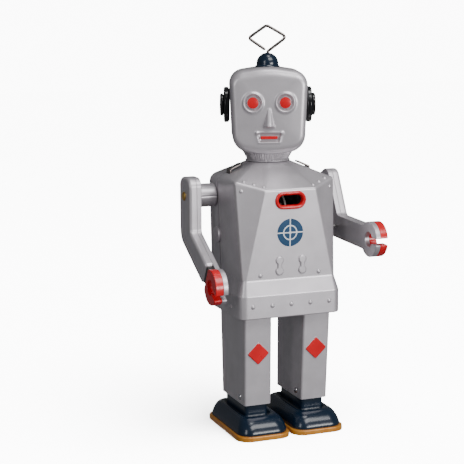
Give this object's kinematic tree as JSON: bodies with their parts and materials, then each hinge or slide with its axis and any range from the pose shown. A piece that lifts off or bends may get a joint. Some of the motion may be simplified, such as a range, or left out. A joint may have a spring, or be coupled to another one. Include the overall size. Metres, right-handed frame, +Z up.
{
  "type": "clockwork tin robot",
  "caption": "Clockwork tin robot with a boxy body, turning head, swinging claw arms and striding legs, driven by a side key and a geared spring motor.",
  "frame": {"origin": "on the floor under the middle of the whole object", "axes": "+Z up, the robot faces -Y, its left hand is at +X"},
  "size_m": [0.0824, 0.0731, 0.1945],
  "materials": {
    "silver_paint": "satin",
    "bare_steel": "satin",
    "brass": "polished",
    "spring_steel": "satin",
    "flint_grey": "rough",
    "emery_wheel": "rough",
    "gloss_black": "gloss",
    "blue_paint": "gloss",
    "gold_paint": "satin",
    "chrome": "polished",
    "red_paint": "gloss",
    "blue_print": "gloss",
    "white_print": "gloss"
  },
  "bodies": {
    "torso": {"body_front_shell": "silver_paint", "body_back_shell": "silver_paint", "motor_plate_right": "bare_steel", "motor_plate_left": "bare_steel", "motor_pillars": "bare_steel", "motor_strap": "bare_steel", "hip_rod": "bare_steel", "mainspring": "spring_steel", "flint_holder": "brass", "flint": "flint_grey", "flint_spring": "spring_steel", "neck_rivet": "bare_steel", "arbor_bush": "silver_paint", "waist_rivets": "bare_steel"},
    "head": {"head_front_shell": "silver_paint", "head_back_shell": "silver_paint", "neck_collar": "silver_paint", "right_ear_disc": "gloss_black", "left_ear_disc": "gloss_black", "right_ear_button": "gloss_black", "left_ear_button": "gloss_black", "antenna_dome": "blue_paint", "antenna_wire": "chrome"},
    "right_arm": {"right_arm_outer": "silver_paint", "right_arm_inner": "silver_paint", "right_shoulder_tube": "silver_paint", "right_shoulder_rivet": "brass"},
    "left_arm": {"left_arm_outer": "silver_paint", "left_arm_inner": "silver_paint", "left_shoulder_tube": "silver_paint", "left_shoulder_rivet": "brass"},
    "right_leg": {"right_leg": "silver_paint", "right_leg_hanger": "bare_steel", "right_ankle_rivets": "chrome"},
    "left_leg": {"left_leg": "silver_paint", "left_leg_hanger": "bare_steel", "left_ankle_rivets": "chrome"},
    "right_foot": {"right_shoe": "blue_paint", "right_sole": "gold_paint"},
    "left_foot": {"left_shoe": "blue_paint", "left_sole": "gold_paint"},
    "stop_lever": {"stop_lever": "bare_steel"},
    "winding": {"winding_key": "chrome", "winding_arbor": "bare_steel", "great_wheel": "brass", "ratchet_wheel": "bare_steel"},
    "crank": {"crank_shaft": "bare_steel", "crank_pinion": "bare_steel", "crank_wheel": "brass", "right_crank_disc": "bare_steel", "left_crank_disc": "bare_steel"},
    "spark": {"spark_shaft": "bare_steel", "spark_pinion": "bare_steel", "spark_wheel": "emery_wheel"}
  },
  "joints": [
    {"name": "head_turn", "type": "hinge", "parent": "torso", "child": "head", "pos_m": [0, 0.01252, 0.134], "axis": [0, 0, 1], "continuous": true},
    {"name": "right_arm_swing", "type": "hinge", "parent": "torso", "child": "right_arm", "pos_m": [-0.0342, 0.02002, 0.1135], "axis": [-1, 0, 0], "continuous": true},
    {"name": "left_arm_swing", "type": "hinge", "parent": "torso", "child": "left_arm", "pos_m": [0.0342, 0.02002, 0.1135], "axis": [-1, 0, 0], "continuous": true},
    {"name": "right_leg_swing", "type": "hinge", "parent": "torso", "child": "right_leg", "pos_m": [-0.00835, 0.00093, 0.072], "axis": [-1, 0, 0], "range_deg": [-6, 6]},
    {"name": "left_leg_swing", "type": "hinge", "parent": "torso", "child": "left_leg", "pos_m": [0.00835, 0.00093, 0.072], "axis": [-1, 0, 0], "range_deg": [-6, 6]},
    {"name": "right_ankle", "type": "hinge", "parent": "right_leg", "child": "right_foot", "pos_m": [-0.01535, -0.00398, 0.018], "axis": [-1, 0, 0], "range_deg": [-6, 6]},
    {"name": "left_ankle", "type": "hinge", "parent": "left_leg", "child": "left_foot", "pos_m": [0.01535, -0.00398, 0.018], "axis": [-1, 0, 0], "range_deg": [-6, 6]},
    {"name": "crank_turn", "type": "hinge", "parent": "torso", "child": "crank", "pos_m": [0, 0.00093, 0.0964], "axis": [1, 0, 0], "continuous": true},
    {"name": "key_turn", "type": "hinge", "parent": "torso", "child": "winding", "pos_m": [0.026, 0.01452, 0.094], "axis": [1, 0, 0], "continuous": true},
    {"name": "spark_wheel_turn", "type": "hinge", "parent": "torso", "child": "spark", "pos_m": [-0.0015, -0.00414, 0.10727], "axis": [1, 0, 0], "continuous": true},
    {"name": "stop_lever_tilt", "type": "hinge", "parent": "torso", "child": "stop_lever", "pos_m": [0.0011, 0.02502, 0.108], "axis": [1, 0, 0], "range_deg": [0, 12]}
  ],
  "couplings": [
    {"joint": "left_leg_swing", "follows": "right_leg_swing", "ratio": -1},
    {"joint": "right_ankle", "follows": "right_leg_swing", "ratio": -1},
    {"joint": "left_ankle", "follows": "right_leg_swing", "ratio": 1},
    {"joint": "crank_turn", "follows": "spark_wheel_turn", "ratio": -0.2},
    {"joint": "key_turn", "follows": "spark_wheel_turn", "ratio": 0.055556}
  ]
}
